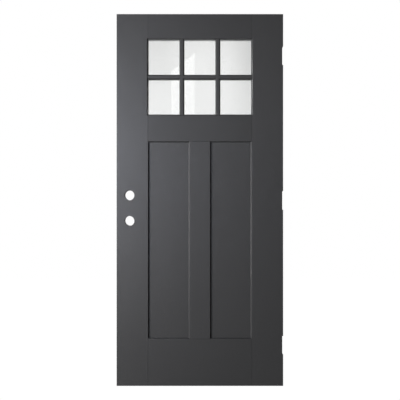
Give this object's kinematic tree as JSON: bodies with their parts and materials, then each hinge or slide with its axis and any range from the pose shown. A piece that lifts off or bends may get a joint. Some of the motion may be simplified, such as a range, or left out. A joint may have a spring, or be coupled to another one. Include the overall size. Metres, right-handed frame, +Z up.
{
  "type": "panelled entry door slab",
  "caption": "Moulded entry door slab in dark grey, with a divided glazed opening above flat sunk panels, bored for locks and recessed for hinges.",
  "frame": {"origin": "middle of the slab's bottom edge, at mid thickness", "axes": "+Z up; the front face towards -Y; the lock edge at -X and the hinge edge at +X"},
  "size_m": [0.91, 0.0444, 2.032],
  "materials": {
    "painted_skin": "satin",
    "laminated_timber": "coated on the long edges",
    "composite_board": "raw",
    "foam": "raw",
    "clear_glass": "polished",
    "spacer_metal": "mill",
    "spacer_plastic": "moulded",
    "drying_beads": "packed beads",
    "sealant": "matt",
    "foam_tape": "matt"
  },
  "bodies": {
    "root": {"front_skin": "painted_skin", "back_skin": "painted_skin", "lock_stile": "laminated_timber", "hinge_stile": "laminated_timber", "top_core_rail": "composite_board", "bottom_core_rail": "composite_board", "lock_block": "laminated_timber", "foam_core": "foam", "glazing_head": "composite_board", "glazing_sill": "composite_board", "glazing_lock_jamb": "composite_board", "glazing_hinge_jamb": "composite_board", "front_pane": "clear_glass", "back_pane": "clear_glass", "spacer_head": "spacer_metal", "spacer_sill": "spacer_metal", "spacer_lock_side": "spacer_metal", "spacer_hinge_side": "spacer_metal", "spacer_corner_keys": "spacer_plastic", "desiccant": "drying_beads", "front_butyl_seal": "sealant", "back_butyl_seal": "sealant", "edge_sealant": "sealant", "setting_blocks": "sealant", "front_glazing_bed": "sealant", "back_glazing_bed": "sealant", "front_bar_tape": "foam_tape", "back_bar_tape": "foam_tape", "front_bar_lock_side": "painted_skin", "front_bar_hinge_side": "painted_skin", "back_bar_lock_side": "painted_skin", "back_bar_hinge_side": "painted_skin", "front_cross_bar_middle": "painted_skin", "front_cross_bar_lock_side": "painted_skin", "front_cross_bar_hinge_side": "painted_skin", "back_cross_bar_middle": "painted_skin", "back_cross_bar_lock_side": "painted_skin", "back_cross_bar_hinge_side": "painted_skin"}
  },
  "joints": []
}
